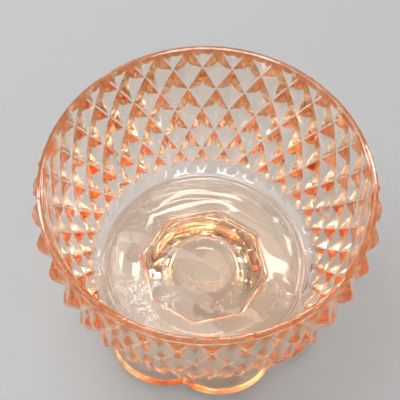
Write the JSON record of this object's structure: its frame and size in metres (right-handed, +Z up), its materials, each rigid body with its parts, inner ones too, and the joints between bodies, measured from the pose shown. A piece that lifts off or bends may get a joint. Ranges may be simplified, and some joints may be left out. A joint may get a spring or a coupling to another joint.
{
  "type": "footed candy dish",
  "caption": "Round footed candy dish in peach-pink pressed glass, with an open diamond-point bowl, a short octagonal stem and a scalloped foot.",
  "frame": {"origin": "centre of the foot's resting ring, on the table plane", "axes": "+Z up along the axis of the bowl; +X through the middle of one lobe of the foot"},
  "size_m": [0.1174, 0.1174, 0.0775],
  "materials": {
    "pink_glass": "clear pressed glass, peach-pink where it is thick, fire-polished, with light scuffs on the inside floor"
  },
  "bodies": {
    "root": {"bowl": "pink_glass", "stem": "pink_glass", "foot": "pink_glass"}
  },
  "joints": []
}
